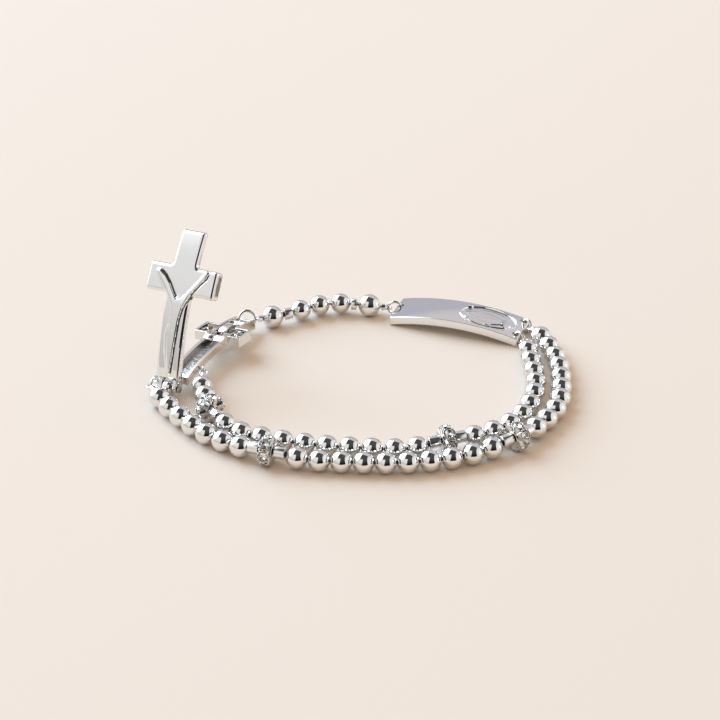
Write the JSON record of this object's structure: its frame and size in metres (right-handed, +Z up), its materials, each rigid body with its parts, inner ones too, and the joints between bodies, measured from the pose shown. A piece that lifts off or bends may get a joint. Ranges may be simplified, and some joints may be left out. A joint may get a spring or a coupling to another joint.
{
  "type": "rosary bracelet",
  "caption": "Rosary bracelet laid open in a loop: strands of round polished beads with crystal rondelles, an arched identity bar and a hinged cross clasp with its lid raised.",
  "frame": {"origin": "middle of the bottom of the box round the whole bracelet as it lies, on the surface", "axes": "+Z up from the surface, +X to the right along the longest way of the loop, +Y to the back, where the identity bar is"},
  "size_m": [0.0812, 0.0654, 0.0294],
  "materials": {
    "beads": "mirror polished silver-coloured metal",
    "spacers": "polished silver-coloured metal",
    "settings": "polished silver-coloured metal, darker in the recesses",
    "stones": "clear cut crystal",
    "findings": "polished silver-coloured wire",
    "bar": "mirror polished silver-coloured metal",
    "clasp_base": "polished silver-coloured metal, satin inside the tray",
    "clasp_lid": "mirror polished silver-coloured metal",
    "thread": "fine steel wire"
  },
  "bodies": {
    "bracelet": {"outer_beads": "beads", "inner_beads": "beads", "back_beads": "beads", "outer_tubes": "spacers", "inner_tubes": "spacers", "back_tubes": "spacers", "outer_thread": "thread", "inner_thread": "thread", "back_wire": "thread", "crystal_setting_1": "settings", "crystal_setting_2": "settings", "crystal_setting_3": "settings", "crystal_setting_4": "settings", "crystal_stones_1": "stones", "crystal_stones_2": "stones", "crystal_stones_3": "stones", "crystal_stones_4": "stones", "end_eye_1": "findings", "end_eye_2": "findings", "end_eye_3": "findings", "end_eye_4": "findings", "end_eye_5": "findings", "end_eye_6": "findings", "jump_ring_1": "findings", "jump_ring_2": "findings", "jump_ring_3": "findings", "jump_ring_4": "findings", "tip_ring": "findings", "id_bar": "bar", "clasp_base": "clasp_base", "hinge_pin": "findings"},
    "lid": {"clasp_lid": "clasp_lid"}
  },
  "joints": [
    {"name": "lid_hinge", "type": "hinge", "parent": "bracelet", "child": "lid", "pos_m": [-0.03592, -0.00395, 0.0022], "axis": [0.8882, -0.4565, 0.0523], "range_deg": [-56, 25]}
  ]
}
